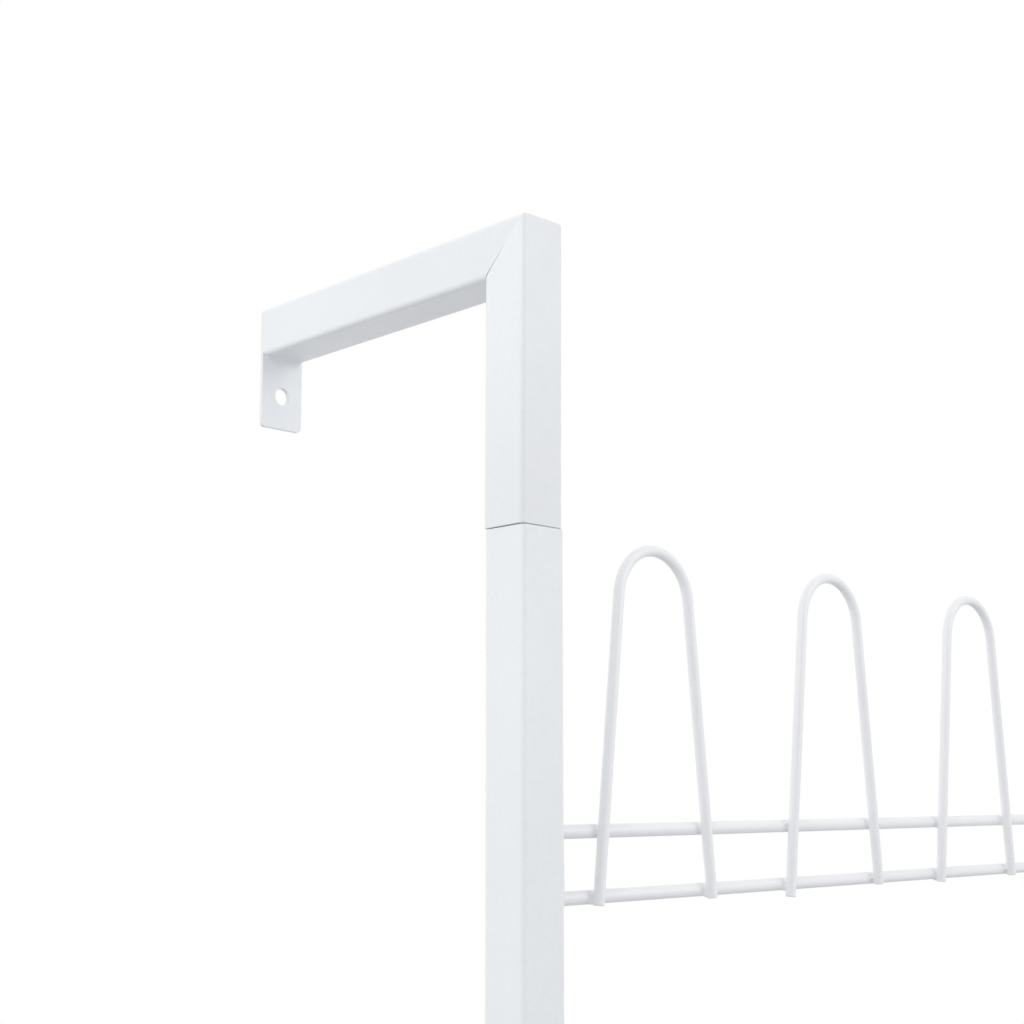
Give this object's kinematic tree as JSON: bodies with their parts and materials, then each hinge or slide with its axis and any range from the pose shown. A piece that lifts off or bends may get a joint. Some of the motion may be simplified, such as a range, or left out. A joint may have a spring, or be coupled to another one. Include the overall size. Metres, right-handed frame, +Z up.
{
  "type": "wall mounted drying rack",
  "caption": "White powder-coated steel rack that stands off a wall on four arms and carries rows of upright wire loops that fold down to the front for drying.",
  "frame": {"origin": "centre of the four wall screw holes, on the wall's face", "axes": "+Z up, -Y to the front of the rack, away from the wall; +X to the viewer's right"},
  "size_m": [0.706, 0.158, 0.85],
  "materials": {
    "powder_coat": "white powder coat, satin",
    "bare_steel": "bare steel tube",
    "zinc_steel": "bright zinc plate",
    "nylon": "natural white nylon"
  },
  "bodies": {
    "frame": {"main_post_left": "powder_coat", "upper_arm_left": "powder_coat", "upper_stub_left": "powder_coat", "upper_wall_plate_left": "powder_coat", "upper_sleeve_left": "bare_steel", "lower_arm_left": "powder_coat", "lower_stub_left": "powder_coat", "lower_wall_plate_left": "powder_coat", "lower_sleeve_left": "bare_steel", "main_post_right": "powder_coat", "upper_arm_right": "powder_coat", "upper_stub_right": "powder_coat", "upper_wall_plate_right": "powder_coat", "upper_sleeve_right": "bare_steel", "lower_arm_right": "powder_coat", "lower_stub_right": "powder_coat", "lower_wall_plate_right": "powder_coat", "lower_sleeve_right": "bare_steel", "sleeve_screws": "zinc_steel", "pivot_bushes": "nylon", "rivet_nuts": "zinc_steel", "stop_screws": "zinc_steel"},
    "row_1": {"row_1_lower_rail": "powder_coat", "row_1_upper_rail": "powder_coat", "row_1_hinge_plate_left": "powder_coat", "row_1_hinge_plate_right": "powder_coat", "row_1_loop_1": "powder_coat", "row_1_loop_2": "powder_coat", "row_1_loop_3": "powder_coat", "row_1_loop_4": "powder_coat", "row_1_loop_5": "powder_coat", "row_1_loop_6": "powder_coat"},
    "row_2": {"row_2_lower_rail": "powder_coat", "row_2_upper_rail": "powder_coat", "row_2_hinge_plate_left": "powder_coat", "row_2_hinge_plate_right": "powder_coat", "row_2_loop_1": "powder_coat", "row_2_loop_2": "powder_coat", "row_2_loop_3": "powder_coat", "row_2_loop_4": "powder_coat", "row_2_loop_5": "powder_coat", "row_2_loop_6": "powder_coat"},
    "row_3": {"row_3_lower_rail": "powder_coat", "row_3_upper_rail": "powder_coat", "row_3_hinge_plate_left": "powder_coat", "row_3_hinge_plate_right": "powder_coat", "row_3_loop_1": "powder_coat", "row_3_loop_2": "powder_coat", "row_3_loop_3": "powder_coat", "row_3_loop_4": "powder_coat", "row_3_loop_5": "powder_coat", "row_3_loop_6": "powder_coat"}
  },
  "joints": [
    {"name": "row_1_fold", "type": "hinge", "parent": "frame", "child": "row_1", "pos_m": [0, -0.148, 0.1875], "axis": [1, 0, 0], "range_deg": [0, 90]},
    {"name": "row_2_fold", "type": "hinge", "parent": "frame", "child": "row_2", "pos_m": [0, -0.148, -0.0225], "axis": [1, 0, 0], "range_deg": [0, 90]},
    {"name": "row_3_fold", "type": "hinge", "parent": "frame", "child": "row_3", "pos_m": [0, -0.148, -0.2325], "axis": [1, 0, 0], "range_deg": [0, 90]}
  ]
}
